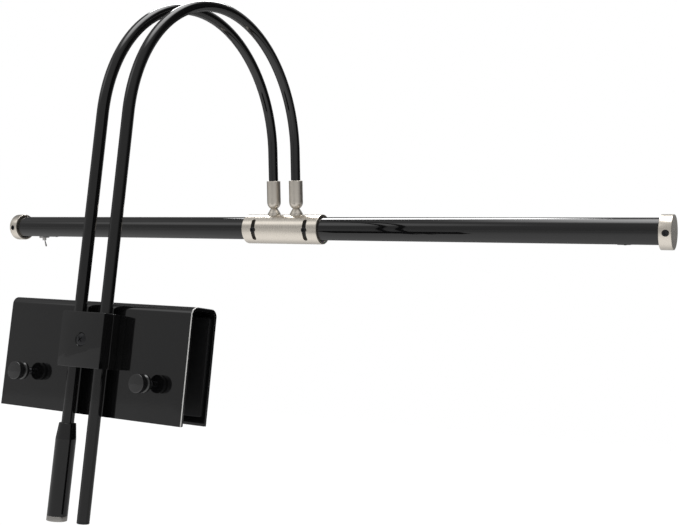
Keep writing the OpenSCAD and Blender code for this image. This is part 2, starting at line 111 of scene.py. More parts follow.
# details finer than the CAD, in millimetres and degrees
FLAT_DROP = 7.7            # the tube's axis to its flat underside
WINDOW_HALF = 4.2          # half the width of the window in the underside
LENS_SEAT = 5.5            # the tube's axis to the ledge that the lens rests on
PLATE_PROUD = 0.25         # window plates below the flat
PLATE_SCREW_R = 1.9
PLATE_SCREW_PROUD = 0.75
PLATE_SCREW_INSET = 4      # from a window plate's end
SLOT_R = 1.65              # half the width of a slot in the sleeve
SLOT_MID = 91              # a slot's middle, from straight up towards the clip's side
SLOT_HALF = 36             # from a slot's middle to the centre of its round end
LEAD_HOLE_R = 1.5          # through the posts into the sleeve
GUIDE_HEAD_R = 2.0
CAP_HOLE_R = 2.1           # hole for a cap's set screw
SCREW_ANGLE = 90           # guide and set screws, from straight up towards the clip's side
THUMB_R = 1.5              # thumb screw's shank
THUMB_BORE_R = 1.56        # what the shank goes into
INSERT_R = 2.2             # threaded insert, where it sits in the sheet
CLAMP_SHANK_R = 2.0        # clamp screw's shank, and its hole in the sheet
THREAD_PITCH = 0.5
THREAD_DEPTH = 0.16


# ---------------------------------------------------------------- mesh helpers

def arc(cx, cy, r, a0, a1, steps=8):
    """Points on a circle's arc, from angle a0 to a1 in degrees."""
    angles = [math.radians(a0 + (a1 - a0) * i / steps) for i in range(steps + 1)]
    return [(cx + r * math.cos(a), cy + r * math.sin(a)) for a in angles]


def rounded(corners, steps=4, closed=True):
    """Outline through corners (x, y) or (x, y, radius), each with a radius rounded off."""
    out = []
    n = len(corners)
    for i, corner in enumerate(corners):
        p = Vector(corner[:2])
        radius = corner[2] if len(corner) > 2 else 0
        inside = closed or 0 < i < n - 1
        if radius <= 0 or not inside:
            out.append(tuple(p))
            continue
        to_prev = Vector(corners[i - 1][:2]) - p
        to_next = Vector(corners[(i + 1) % n][:2]) - p
        half = to_prev.angle(to_next) / 2
        reach = min(radius / math.tan(half), to_prev.length * 0.49, to_next.length * 0.49)
        radius = reach * math.tan(half)
        u, v = to_prev.normalized(), to_next.normalized()
        centre = p + (u + v).normalized() * radius / math.sin(half)
        start, end = p + u * reach - centre, p + v * reach - centre
        swing = math.pi - 2 * half
        for k in range(steps + 1):
            t = k / steps
            w = (start * math.sin((1 - t) * swing) + end * math.sin(t * swing)) / math.sin(swing)
            out.append(tuple(centre + w))
    return out


def rectangle(low_x, low_y, high_x, high_y, radius, steps=4):
    """Outline of a rectangle with rounded corners."""
    corners = [(low_x, low_y), (high_x, low_y), (high_x, high_y), (low_x, high_y)]
    return rounded([(x, y, radius) for x, y in corners], steps)


def turned(profile, sides=FINE, closed=False, wobble=None):
    """bmesh of (radius, height) points in millimetres turned about +Z. wobble(angle, radius,
    height) may change a point's radius."""
    bm = bmesh.new()
    rings = []
    for r, z in profile:
        if r < 1e-6:
            rings.append([bm.verts.new((0, 0, z * MM))])
            continue
        ring = []
        for i in range(sides):
            a = 2 * math.pi * i / sides
            rr = wobble(a, r, z) if wobble else r
            ring.append(bm.verts.new((rr * math.cos(a) * MM, rr * math.sin(a) * MM, z * MM)))
        rings.append(ring)
    pairs = list(zip(rings, rings[1:]))
    if closed:
        pairs.append((rings[-1], rings[0]))
    for low, high in pairs:
        for i in range(sides):
            j = (i + 1) % sides
            if len(low) == 1 and len(high) == 1:
                continue
            if len(low) == 1:
                bm.faces.new((low[0], high[j], high[i]))
            elif len(high) == 1:
                bm.faces.new((low[i], low[j], high[0]))
            else:
                bm.faces.new((low[i], low[j], high[j], high[i]))
    if not closed:
        for ring in (rings[0], rings[-1]):
            if len(ring) > 1:
                bm.faces.new(ring)
    bmesh.ops.recalc_face_normals(bm, faces=bm.faces)
    return bm


def skin(bm, rings):
    """Faces between neighbouring rings, which have as many points each, and over both ends."""
    for a, b in zip(rings, rings[1:]):
        for i in range(len(a)):
            j = (i + 1) % len(a)
            bm.faces.new((a[i], a[j], b[j], b[i]))
    bm.faces.new(rings[0][::-1])
    bm.faces.new(rings[-1])


def shrunk(outline, inset):
    """The outline moved inwards by inset; it runs anticlockwise."""
    n = len(outline)
    out = []
    for i in range(n):
        before, here, after = (Vector(outline[k % n]) for k in (i - 1, i, i + 1))
        e0, e1 = (here - before).normalized(), (after - here).normalized()
        n0, n1 = Vector((-e0.y, e0.x)), Vector((-e1.y, e1.x))
        m = (n0 + n1).normalized()
        out.append(tuple(here + m * inset / max(0.5, m.dot(n0))))
    return out


def prism(outline, low, high, bevel=0.0, steps=3):
    """bmesh of an outline (x, y) in millimetres run along +Z, its end edges rounded."""
    area = sum(a[0] * b[1] - b[0] * a[1] for a, b in zip(outline, outline[1:] + outline[:1]))
    if area < 0:
        outline = outline[::-1]
    levels = [(low, 0.0), (high, 0.0)]
    if bevel > 0:
        angles = [math.pi / 2 * k / steps for k in range(steps + 1)]
        start = [(low + bevel * (1 - math.cos(a)), bevel * (1 - math.sin(a))) for a in angles]
        levels = start + [(low + high - z, inset) for z, inset in reversed(start)]
    bm = bmesh.new()
    rings = []
    for z, inset in levels:
        points = shrunk(outline, inset) if inset > 0 else outline
        rings.append([bm.verts.new((x * MM, y * MM, z * MM)) for x, y in points])
    skin(bm, rings)
    return bm


def moved(bm, *matrices):
    """The bmesh with the matrices applied, the last one first."""
    total = Matrix.Identity(4)
    for m in matrices:
        total = total @ m
    bmesh.ops.transform(bm, matrix=total, verts=bm.verts)
    return bm


def shift(x=0.0, y=0.0, z=0.0):
    """A move in millimetres."""
    return Matrix.Translation((x * MM, y * MM, z * MM))


def turn(degrees, axis):
    return Matrix.Rotation(math.radians(degrees), 4, axis)


# a piece drawn along +Z, laid so that it runs along +X, +Y or -Y; for +X its own +X points down
ALONG_X = turn(90, "Y")
ALONG_Y = turn(-90, "X")
ALONG_MINUS_Y = turn(90, "X")
TO_CLIP = turn(SCREW_ANGLE, "X")


def on_axis(node, y):
    """A move to a node's axis, which runs along Y, at y millimetres."""
    mid = middle(node)
    return shift(mid.x / MM, y, mid.z / MM)


def joined(*parts):
    """One bmesh of several."""
    bm = bmesh.new()
    for part in parts:
        mesh = bpy.data.meshes.new("part")
        part.to_mesh(mesh)
        part.free()
        bm.from_mesh(mesh)
        bpy.data.meshes.remove(mesh)
    return bm


def linked(name, data):
    """A new object in the scene."""
    obj = bpy.data.objects.new(name, data)
    bpy.context.scene.collection.objects.link(obj)
    return obj


def to_object(bm, name):
    """The bmesh as an object in the scene; the bmesh is freed."""
    mesh = bpy.data.meshes.new(name)
    bm.to_mesh(mesh)
    bm.free()
    return linked(name, mesh)


def carved(bm, *cutters, keep=False):
    """bm with the cutters taken away, or only what they share when keep is true."""
    base = to_object(bm, "base")
    helpers = [to_object(cutter, "cutter") for cutter in cutters]
    for helper in helpers:
        mod = base.modifiers.new("cut", "BOOLEAN")
        mod.operation = "INTERSECT" if keep else "DIFFERENCE"
        mod.solver = "EXACT"
        mod.object = helper
    bpy.context.view_layer.update()
    depsgraph = bpy.context.evaluated_depsgraph_get()
    out = bmesh.new()
    mesh = bpy.data.meshes.new_from_object(base.evaluated_get(depsgraph))
    out.from_mesh(mesh)
    bpy.data.meshes.remove(mesh)
    for obj in [base] + helpers:
        old = obj.data
        bpy.data.objects.remove(obj)
        bpy.data.meshes.remove(old)
    bmesh.ops.remove_doubles(out, verts=out.verts, dist=1e-7)
    bmesh.ops.dissolve_degenerate(out, edges=out.edges, dist=1e-7)
    return out


def piece(name, bm, material, body, slot, *nodes, angle=32, second=None):
    """A finished piece: smooth where it is round, riding on its body, in place of its CAD nodes.
    second is (material, test): faces whose centre and normal pass the test take it."""
    obj = to_object(bm, name)
    mesh = obj.data
    mesh.polygons.foreach_set("use_smooth", [True] * len(mesh.polygons))
    mesh.set_sharp_from_angle(angle=math.radians(angle))
    mesh.materials.append(material)
    if second:
        mesh.materials.append(second[0])
        for face in mesh.polygons:
            if second[1](face.center, face.normal):
                face.material_index = 1
    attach(obj, body)
    if nodes:
        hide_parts(*nodes)
    return obj


# ---------------------------------------------------------------- material helpers

def set_range(node, start, end, low, high):
    """Sets what a Map Range node maps from and to."""
    values = {"From Min": start, "From Max": end, "To Min": low, "To Max": high}
    for key, value in values.items():
        node.inputs[key].default_value = value


class Shader:
    """A principled material and short ways to add nodes to it."""

    def __init__(self, name, **values):
        self.material = bpy.data.materials.new(name)
        self.material.use_nodes = True
        self.tree = self.material.node_tree
        self.bsdf = self.tree.nodes["Principled BSDF"]
        for key, value in values.items():
            self.bsdf.inputs[key.replace("_", " ")].default_value = value
        self.coords = self.tree.nodes.new("ShaderNodeTexCoord").outputs["Object"]

    def node(self, kind, **values):
        """A new node; each value goes to its property or, failing that, to its input socket."""
        node = self.tree.nodes.new(kind)
        for key, value in values.items():
            if hasattr(node, key):
                setattr(node, key, value)
            else:
                node.inputs[key.replace("_", " ")].default_value = value
        return node

    def link(self, source, target):
        self.tree.links.new(source, target)

    def stretched(self, scale):
        """Object coordinates, scaled by (x, y, z)."""
        mapping = self.node("ShaderNodeMapping")
        mapping.inputs["Scale"].default_value = scale
        self.link(self.coords, mapping.inputs["Vector"])
        return mapping.outputs["Vector"]

    def noise(self, scale, detail=3.0, roughness=0.55, stretch=None):
        """Noise of about 0.3 to 0.7 over the object."""
        noise = self.node("ShaderNodeTexNoise", Scale=scale, Detail=detail, Roughness=roughness)
        vector = self.stretched(stretch) if stretch else self.coords
        self.link(vector, noise.inputs["Vector"])
        return noise.outputs["Fac"]

    def ranged(self, source, low, high, start=0.3, end=0.7):
        """The source's range from start to end, mapped to low to high."""
        mapped = self.node("ShaderNodeMapRange")
        set_range(mapped, start, end, low, high)
        self.link(source, mapped.inputs["Value"])
        return mapped.outputs["Result"]

    def coloured(self, source, dark, light, start=0.3, end=0.7):
        """Colour ramp over the source's range from start to end."""
        ramp = self.node("ShaderNodeValToRGB")
        ramp.color_ramp.elements[0].position = start
        ramp.color_ramp.elements[0].color = (*dark, 1)
        ramp.color_ramp.elements[1].position = end
        ramp.color_ramp.elements[1].color = (*light, 1)
        self.link(source, ramp.inputs["Fac"])
        return ramp.outputs["Color"]

    def base(self, source):
        self.link(source, self.bsdf.inputs["Base Color"])

    def rough(self, source):
        self.link(source, self.bsdf.inputs["Roughness"])

    def bumped(self, *layers):
        """Bump from (height source, strength, depth in metres) layers."""
        normal = None
        for height, strength, depth in layers:
            bump = self.node("ShaderNodeBump", Strength=strength, Distance=depth)
            self.link(height, bump.inputs["Height"])
            if normal:
                self.link(normal, bump.inputs["Normal"])
            normal = bump.outputs["Normal"]
        self.link(normal, self.bsdf.inputs["Normal"])


def gloss_black(name, tint=(0.0035, 0.0035, 0.0037), polish=0.04, ior=1.5):
    """Gloss black paint: a faint orange peel, soft smears and a few fine scratches."""
    sh = Shader(name, IOR=ior)
    cloud = sh.noise(35, 4)
    sh.base(sh.coloured(cloud, Vector(tint) * 0.85, Vector(tint) * 1.2))
    smears = sh.noise(90, 5, 0.65)
    sh.rough(sh.ranged(smears, polish, polish + 0.035))
    peel = sh.noise(700, 2)
    grain = sh.noise(4200, 2)
    sh.bumped((peel, 0.05, 0.00004), (grain, 0.03, 0.00001))
    return sh.material


def satin_nickel(name, brush, light=(0.67, 0.62, 0.55), dark=(0.61, 0.565, 0.50), rough=0.27):
    """Brushed nickel; brush scales the grain along each axis, small along the strokes."""
    sh = Shader(name, Metallic=1.0)
    strokes = sh.noise(1.0, 4, 0.7, stretch=brush)
    cloud = sh.noise(60, 3)
    mixed = sh.node("ShaderNodeMath", operation="MULTIPLY_ADD")
    sh.link(strokes, mixed.inputs[0])
    mixed.inputs[1].default_value = 0.7
    sh.link(sh.ranged(cloud, 0.1, 0.2), mixed.inputs[2])
    sh.base(sh.coloured(mixed.outputs[0], dark, light, 0.3, 0.7))
    sh.rough(sh.ranged(strokes, rough - 0.03, rough + 0.04))
    sh.bumped((strokes, 0.06, 0.000015))
    return sh.material


def plain_metal(name, colour, rough, grain=900):
    """Machined or plated metal with a fine, even grain."""
    sh = Shader(name, Metallic=1.0)
    cloud = sh.noise(grain * 0.2, 4)
    sh.base(sh.coloured(cloud, Vector(colour) * 0.85, colour))
    fine = sh.noise(grain, 4)
    sh.rough(sh.ranged(fine, rough * 0.8, rough * 1.3))
    sh.bumped((fine, 0.15, 0.00003))
    return sh.material


def moulded(name, colour, rough=0.45, grain=1800, depth=0.00004, strength=0.2, ior=1.45):
    """Moulded plastic or rubber with a fine texture and uneven sheen."""
    sh = Shader(name, IOR=ior)
    cloud = sh.noise(120, 4)
    sh.base(sh.coloured(cloud, Vector(colour) * 0.75, colour))
    fine = sh.noise(grain, 3)
    sh.rough(sh.ranged(fine, rough - 0.07, min(1.0, rough + 0.1)))
    sh.bumped((fine, strength, depth))
    return sh.material


def opal(name):
    """Opal lens: white, a little translucent, with faint run lines along its length."""
    sh = Shader(name, IOR=1.49, Subsurface_Weight=0.25, Subsurface_Scale=0.002)
    lines = sh.noise(1.0, 2, stretch=(4, 900, 900))
    sh.base(sh.coloured(lines, (0.80, 0.80, 0.77), (0.88, 0.88, 0.86)))
    sh.rough(sh.ranged(sh.noise(300, 3), 0.22, 0.34))
    sh.bumped((lines, 0.1, 0.00002))
    return sh.material


MAT = {
    "paint": gloss_black("paint_black"),
    "tube": gloss_black("tube_black", polish=0.03),
    "knob": gloss_black("knob_black", (0.006, 0.006, 0.0063), 0.07, 1.62),
    "nickel_lamp": satin_nickel("nickel_brushed_round_x", (2600, 60, 60)),
    "nickel_post": satin_nickel("nickel_brushed_round_z", (120, 120, 2600), (0.64, 0.595, 0.53),
                                (0.58, 0.54, 0.48), 0.37),
    "nickel_ring": satin_nickel("nickel_ring", (150, 150, 3000), (0.38, 0.365, 0.345),
                                (0.30, 0.29, 0.275)),
    "dark_steel": plain_metal("screw_black_oxide", (0.035, 0.035, 0.037), 0.3),
    # light metal for the front plate's cut edges, a painted highlight
    "edge": plain_metal("sheet_edge_painted_highlight", (0.80, 0.79, 0.77), 0.55, grain=1500),
    "chrome": plain_metal("switch_nickel", (0.42, 0.41, 0.40), 0.16),
    "brass": plain_metal("contact_gold", (0.72, 0.52, 0.22), 0.25),
    "tin": plain_metal("tinned_terminal", (0.7, 0.7, 0.7), 0.35),
    "aluminium": plain_metal("mill_aluminium", (0.68, 0.69, 0.71), 0.38, grain=500),
    "liner": moulded("liner_foam", (0.006, 0.006, 0.0065), 0.6, 2600, 0.0001, 0.4, ior=1.3),
    "rubber": moulded("pad_rubber", (0.02, 0.02, 0.02), 0.7, 2200, 0.0001, 0.4),
    "plastic": moulded("black_plastic", (0.008, 0.008, 0.009), 0.35),
    "jacket": moulded("lead_jacket", (0.02, 0.02, 0.022), 0.5),
    "board": moulded("board_white", (0.8, 0.8, 0.77), 0.4, 900),
    "phosphor": moulded("phosphor", (0.85, 0.68, 0.2), 0.5, 3000),
    "switch": moulded("switch_case_red", (0.25, 0.03, 0.02), 0.4),
    "opal": opal("opal_lens"),
}


# ---------------------------------------------------------------- clip

def bent_path(front, back, bottom, top, r):
    """Line of the channel in (y, z), up the front plate, over and down the back plate."""
    path = [(front, bottom), (front, bottom + 1)]
    path += [(front + r - y, top - r + z) for y, z in arc(0, 0, r, 0, 90, 10)]
    path += [(back - r + y, top - r + z) for y, z in reversed(arc(0, 0, r, 0, 90, 10))]
    return path + [(back, bottom + 1), (back, bottom)]


def sheet_hole(node, r):
    """Cutter for a hole through the front plate, on a screw's axis."""
    place = on_axis(node, clip_low.y - 1)
    return moved(turned([(r, 0), (r, sheet_t + 2)], 48), place, ALONG_Y)


def clip_channel():
    """Bent sheet with rounded bends; on the front plate's cut ends, the corner faces that turn
    forward take a light metal finish, a painted highlight along that edge.
    """
    t = sheet_t
    front, back = clip_low.y, clip_high.y
    bottom, half = clip_low.z, clip_high.x
    bend, soft = 4.5, 0.4
    stations = [(-half, soft), (-half + soft, 0), (half - soft, 0), (half, soft)]
    bm = bmesh.new()
    rings = []
    for x, inset in stations:
        outer = bent_path(front + inset, back - inset, bottom + inset, t - inset, bend - inset)
        inside = 0.4 * inset
        inner = bent_path(front + t - inside, back - t + inside, bottom + inset, inside,
                          bend - t + inside)
        rings.append([[bm.verts.new((x * MM, y * MM, z * MM)) for y, z in path]
                      for path in (outer, inner)])
    for (outer_a, inner_a), (outer_b, inner_b) in zip(rings, rings[1:]):
        loop_a, loop_b = outer_a + inner_a[::-1], outer_b + inner_b[::-1]
        for k in range(len(loop_a)):
            m = (k + 1) % len(loop_a)
            bm.faces.new((loop_a[k], loop_a[m], loop_b[m], loop_b[k]))
    for outer, inner in (rings[0], rings[-1]):
        for k in range(len(outer) - 1):
            bm.faces.new((outer[k], outer[k + 1], inner[k + 1], inner[k]))
    bmesh.ops.recalc_face_normals(bm, faces=bm.faces)
    holes = [sheet_hole("thumb_screw_left", INSERT_R), sheet_hole("thumb_screw_right", INSERT_R),
             sheet_hole("clamp_screw", CLAMP_SHANK_R)]
    cut_end = (half - 0.8 * soft) * MM
    front_part = (front + 0.25 * (back - front)) * MM

    # the forward-turned corner faces of the front plate's cut ends: the light metal there is a
    # painted highlight; the back plate's ends keep the black paint
    def painted_highlight_faces(centre, normal):
        on_front = centre.y < front_part
        on_corner = 0.2 < abs(normal.x) < 0.97 and normal.y - normal.z < -0.1
        return abs(centre.x) > cut_end and on_front and on_corner

    piece("clip_sheet", carved(bm, *holes), MAT["paint"], "clip", "black_gloss", "clip_channel",
          second=(MAT["edge"], painted_highlight_faces))


def back_liner():
    """Foam sheet with rounded corners and soft edges, inside the back plate."""
    low, high = box_mm("back_liner")
    outline = rectangle(low.x, low.z, high.x, high.z, radius=1.2, steps=6)
    pad = moved(prism(outline, -high.y, -low.y, 0.35), ALONG_MINUS_Y)
    piece("liner_pad", pad, MAT["liner"], "clip", "liner_pad", "back_liner")


def screw_inserts():
    """Flanged inserts in the front plate, chamfered where the thumb screws go in and out."""
    flange_z, flange_r, length = 2, 3.2, 3
    bore, cut = THUMB_BORE_R, 0.15
    profile = [(bore, cut), (bore + cut, 0), (INSERT_R, 0), (INSERT_R, flange_z),
               (flange_r, flange_z), (flange_r, length - cut), (flange_r - cut, length),
               (bore + cut, length), (bore, length - cut)]
    rings = [moved(turned(profile, 64, closed=True), on_axis(node, clip_low.y), ALONG_Y)
             for node in ("thumb_screw_left", "thumb_screw_right")]
    piece("threaded_inserts", joined(*rings), MAT["dark_steel"], "clip", "dark_steel",
          "screw_inserts")


def thread(radius, low, high, sides=48, per_turn=8):
    """Screw shank with a right-handed thread, drawn along +Z."""
    rows = int((high - low) / THREAD_PITCH * per_turn)
    levels = [low + (high - low) * k / rows for k in range(rows + 1)]

    def wobble(angle, r, z):
        phase = (z / THREAD_PITCH - angle / (2 * math.pi)) % 1.0
        near_end = min(1.0, (high - z) / THREAD_PITCH, (z - low) / THREAD_PITCH)
        return r - THREAD_DEPTH * max(1 - near_end, abs(2 * phase - 1))

    return turned([(radius, z) for z in levels], sides, wobble=wobble)


def thumb_screw(side):
    """Knurled head in two discs with a groove between them, on a threaded shank."""
    node = "thumb_screw_" + side
    low, high = box_mm(node)
    r = (high.x - low.x) / 2
    head_y = joint("screw_turn_" + side)["pos_m"][1] / MM
    length = head_y - low.y
    rear, groove_r = 2.6, r - 1.0
    front = rear + 1.0
    land, step = 0.7, 0.02          # the knurled band's ends, and a ring just inside each
    teeth, depth = 60, 0.05

    def knurl(angle, radius, height):
        on_band = front + land - step < height < length - land + step
        if on_band and radius > r - depth:
            return radius - depth * (0.5 - 0.5 * math.cos(teeth * angle))
        return radius

    profile = rounded([
        (0, 0), (r, 0, 0.5), (r, rear - 0.75, 0.25), (r - 0.7, rear, 0.25), (groove_r, rear, 0.1),
        (groove_r, front, 0.1), (r, front, 0.4), (r, front + land), (r, front + land + step),
        (r, length - land - step), (r, length - land), (r, length, 0.5), (0, length)],
        4, closed=False)
    head = moved(turned(profile, teeth * 6, wobble=knurl), on_axis(node, head_y), ALONG_MINUS_Y)
    shank = moved(thread(THUMB_R, 0, high.y - head_y), on_axis(node, head_y), ALONG_Y)
    shank_start = (head_y + 0.01) * MM

    def on_shank(centre, normal):
        return centre.y > shank_start

    piece("thumb_screw_" + side + "_turned", joined(head, shank), MAT["knob"], "screw_" + side,
          "knob_black", node, angle=40, second=(MAT["dark_steel"], on_shank))


def press_pad(side):
    """Swivel cup crimped on the screw's tip, with a rubber facing."""
    cup_node, facing_node = "press_pad_" + side, "pad_facing_" + side
    bore, neck_r, r = THUMB_BORE_R, 3, 6
    neck, thick, bore_end = 1.5, 2.7, 2.25
    outside = rounded([(bore, 0), (neck_r, 0, 0.3), (neck_r, neck, 0.3), (r, neck, 0.3),
                       (r, thick, 0.3), (0, thick)], 4, closed=False)
    cup = turned(outside + [(0, bore_end), (bore, bore_end)], 72, closed=True)
    cup = moved(cup, on_axis(cup_node, box_mm(cup_node)[0].y), ALONG_Y)
    piece("press_cup_" + side, cup, MAT["dark_steel"], "pad_" + side, "dark_steel", cup_node)
    face, groove = 1.5, 0.25
    rim = [(0, 0), (r - 0.05, 0), (r, 0.1), (r, 1.1, 0.4), (r - 0.4, face, 0.3)]
    rib_edges = (4.9, 4.6, 3.7, 3.4, 2.5, 2.2, 1.3, 1.0)
    ribs = [(edge, face - (groove if k % 2 else 0)) for k, edge in enumerate(rib_edges)]
    facing = turned(rounded(rim + ribs + [(0, face)], 3, closed=False), 72)
    facing = moved(facing, on_axis(facing_node, box_mm(facing_node)[0].y), ALONG_Y)
    piece("press_facing_" + side, facing, MAT["rubber"], "pad_" + side, "pad_rubber",
          facing_node)


# ---------------------------------------------------------------- clamp block

def clamp_block():
    """Two halves with softly rounded edges, bored through for the arms and the screw."""
    face_y = box_mm("clamp_block_front")[0].y
    bore_r = arm_r / MM + 0.04
    hole_r, head_r, past = CLAMP_SHANK_R + 0.05, 3.95, 20
    holes = {
        "rear": [(hole_r, -past), (hole_r, 1)],
        "front": [(hole_r, -past), (hole_r, -2.4), (head_r, -0.25), (head_r, 1)],
    }
    for half, hole in holes.items():
        node = "clamp_block_" + half
        low, high = box_mm(node)
        outline = rectangle(low.x, low.z, high.x, high.z, radius=0.5)
        block = moved(prism(outline, -high.y, -low.y, 0.3), ALONG_MINUS_Y)
        bores = [moved(turned([(bore_r, -80), (bore_r, 10)], 96), shift(x / MM, arm_y / MM))
                 for x in arm_x.values()]
        drill = moved(turned(hole, 64), on_axis("clamp_screw", face_y), ALONG_MINUS_Y)
        piece("clamp_" + half + "_half", carved(block, *bores, drill), MAT["paint"], "clip",
              "black_gloss", node)


def clamp_screw():
    """Raised countersunk screw with a cross recess."""
    low, high = box_mm("clamp_screw")
    length = high.y - low.y
    r, point = CLAMP_SHANK_R, 0.3
    dome = arc(0, -7.2, 7.75, 90, 62, 8)
    profile = [(max(0, rr), z) for rr, z in dome] + [(3.72, -0.45), (r, -2.3)]
    profile += [(r, -length + point), (r - point, -length), (0, -length)]
    wing = rectangle(-1.75, -0.2, 1.75, 0.2, radius=0.15, steps=3)
    wings = [moved(prism(wing, -1.5, 2), turn(angle, "Z")) for angle in (38, 128)]
    centre = turned([(0, -1.9), (0.25, -1.7), (0.45, -0.4), (0.5, 2)], 32)
    cut = carved(turned(profile, 72), *wings, centre)
    piece("clamp_screw_cross", moved(cut, on_axis("clamp_screw", low.y), ALONG_MINUS_Y),
          MAT["dark_steel"], "clip", "dark_steel", "clamp_screw")


def hexagon(corner_r):
    return arc(0, 0, corner_r, 0, 360, 6)[:-1]


def hex_nut(flats, thick, bore):
    """Nut with both corners chamfered and a countersunk bore, drawn from 0 up along +Z."""
    corner, face_r = flats / 2 / math.cos(math.pi / 6), flats / 2 - 0.1
    drop = (corner - flats / 2) * 0.6
    past, wide = 0.01, corner + 0.05
    bound = [(0, -past), (face_r, -past), (wide, drop), (wide, thick - drop),
             (face_r, thick + past), (0, thick + past)]
    shaped = carved(prism(hexagon(corner), 0, thick), turned(bound, 96), keep=True)
    sink, mouth = 0.25, 0.3
    hole = [(bore + mouth, -mouth), (bore, sink), (bore, thick - sink),
            (bore + mouth, thick + mouth)]
    return carved(shaped, turned(hole, 64))


def clamp_nut():
    """Nut on the clamp screw, inside the channel."""
    low, high = box_mm("clamp_nut")
    nut = moved(hex_nut(7, high.y - low.y, 1.99), on_axis("clamp_nut", low.y), ALONG_Y)
    piece("clamp_nut_hex", nut, MAT["dark_steel"], "clip", "dark_steel", "clamp_nut", angle=25)


# ---------------------------------------------------------------- arms

def arm_route(low, short):
    """Centre line of an arm in (y, z) with its direction: leg, arch and drop. It ends before
    the tube's axis, by the distance short."""
    route = [((arm_y, low), (0, 1)), ((arm_y, arch_z - 4 * MM), (0, 1))]
    steps = 112
    swing = math.pi - lean
    for k in range(steps + 1):
        a = swing * k / steps
        route.append(((arm_y + arch_r * (1 - math.cos(a)), arch_z + arch_r * math.sin(a)),
                      (math.sin(a), math.cos(a))))
    (y, z), (dy, dz) = route[-1]
    run = arch_drop - short
    route.append(((y + dy * run, z + dz * run), (dy, dz)))
    return route


def bar(route, x, r, sides=72):
    """Round bar along a route in the plane of x."""
    bm = bmesh.new()
    rings = []
    for (y, z), (dy, dz) in route:
        ring = []
        for i in range(sides):
            a = 2 * math.pi * i / sides
            across, out = r * math.cos(a), r * math.sin(a)
            ring.append(bm.verts.new((x + across, y - dz * out, z + dy * out)))
        rings.append(ring)
    skin(bm, rings)
    bmesh.ops.recalc_face_normals(bm, faces=bm.faces)
    return bm


def arms():
    """Bent tubes, the plug in the right one's lower end and the lead in the left one."""
    wall, seat, lead_end = 1 * MM, 24 * MM, 9.3 * MM
    for side, x in arm_x.items():
        node = "arm_" + side
        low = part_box(node)[0].z
        outer = bar(arm_route(low, seat), x, arm_r)
        inner = bar(arm_route(low - wall, seat - wall), x, arm_r - wall, 48)
        piece("arm_tube_" + side, carved(outer, inner), MAT["paint"], "arms", "black_gloss", node)
    r, head, length = arm_r / MM, 1.2, 7.2
    stem_r = r - 1.02
    profile = rounded([(0, 0), (0.9, 0), (1.0, 0.25), (r, 0.05, 0.35), (r, head, 0.1),
                       (stem_r, head), (stem_r, length, 0.3), (0, length)], 4, closed=False)
    place = shift(arm_x["right"] / MM, arm_y / MM, box_mm("arm_end_plug")[0].z)
    piece("arm_plug", moved(turned(profile, 72), place), MAT["plastic"], "arms", "black_plastic",
          "arm_end_plug")
    lead = bar(arm_route(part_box("arm_lead")[0].z, lead_end), arm_x["left"], 1.3 * MM, 24)
    piece("lead_in_arm", lead, MAT["jacket"], "arms", "lead_jacket", "arm_lead")


def inlet():
    """Housing with a tapered top, its nickel ring, and the socket inside."""
    place = shift(arm_x["left"] / MM, arm_y / MM)
    low, high = box_mm("inlet_housing")
    top, ring_top, r = high.z, low.z, (high.x - low.x) / 2
    arm_end = box_mm("arm_left")[0].z
    a = arm_r / MM
    bore, fit = r - 1.35, a + 0.02
    shell = rounded([
        (fit, top), (4.7, top, 0.35), (r, top - 8.8, 6), (r, ring_top, 0.2), (bore, ring_top, 0.1),
        (bore, arm_end - 1), (a - 1, arm_end - 1), (a - 1, arm_end), (fit, arm_end)], 8)
    piece("inlet_shell", moved(turned(shell, 96, closed=True), place), MAT["paint"], "arms",
          "black_gloss", "inlet_housing", angle=28)
    end, jack_r = box_mm("inlet_ring")[0].z, 3.2
    ring_r = jack_r + 0.02
    ring = rounded([(ring_r, ring_top), (r, ring_top, 0.15), (r, end, 0.4), (ring_r, end, 0.25)], 5)
    piece("inlet_collar", moved(turned(ring, 96, closed=True), place), MAT["nickel_ring"], "arms",
          "satin_nickel", "inlet_ring")
    nose, back, pin_r, socket_r = end + 0.4, ring_top + 13.6, 1.05, 2.8
    pin_hole, floor_z = pin_r + 0.03, nose + 9.5
    jack = rounded([
        (jack_r, nose, 0.15), (jack_r, ring_top), (bore, ring_top), (bore, back, 0.4),
        (pin_hole, back), (pin_hole, floor_z), (socket_r, floor_z), (socket_r, nose, 0.25)], 4)
    piece("inlet_socket", moved(turned(jack, 72, closed=True), place), MAT["plastic"], "arms",
          "black_plastic", "power_jack")
    pin_end = back + 2
    tip = end + 1.6 - pin_r
    pin = [(0, tip)] + arc(0, tip + pin_r, pin_r, -80, 0, 8) + [(pin_r, pin_end), (0, pin_end)]
    piece("inlet_pin", moved(turned(pin, 40), place), MAT["brass"], "arms", "contact_brass",
          "jack_pin")


# ---------------------------------------------------------------- ferrules, posts and sleeve

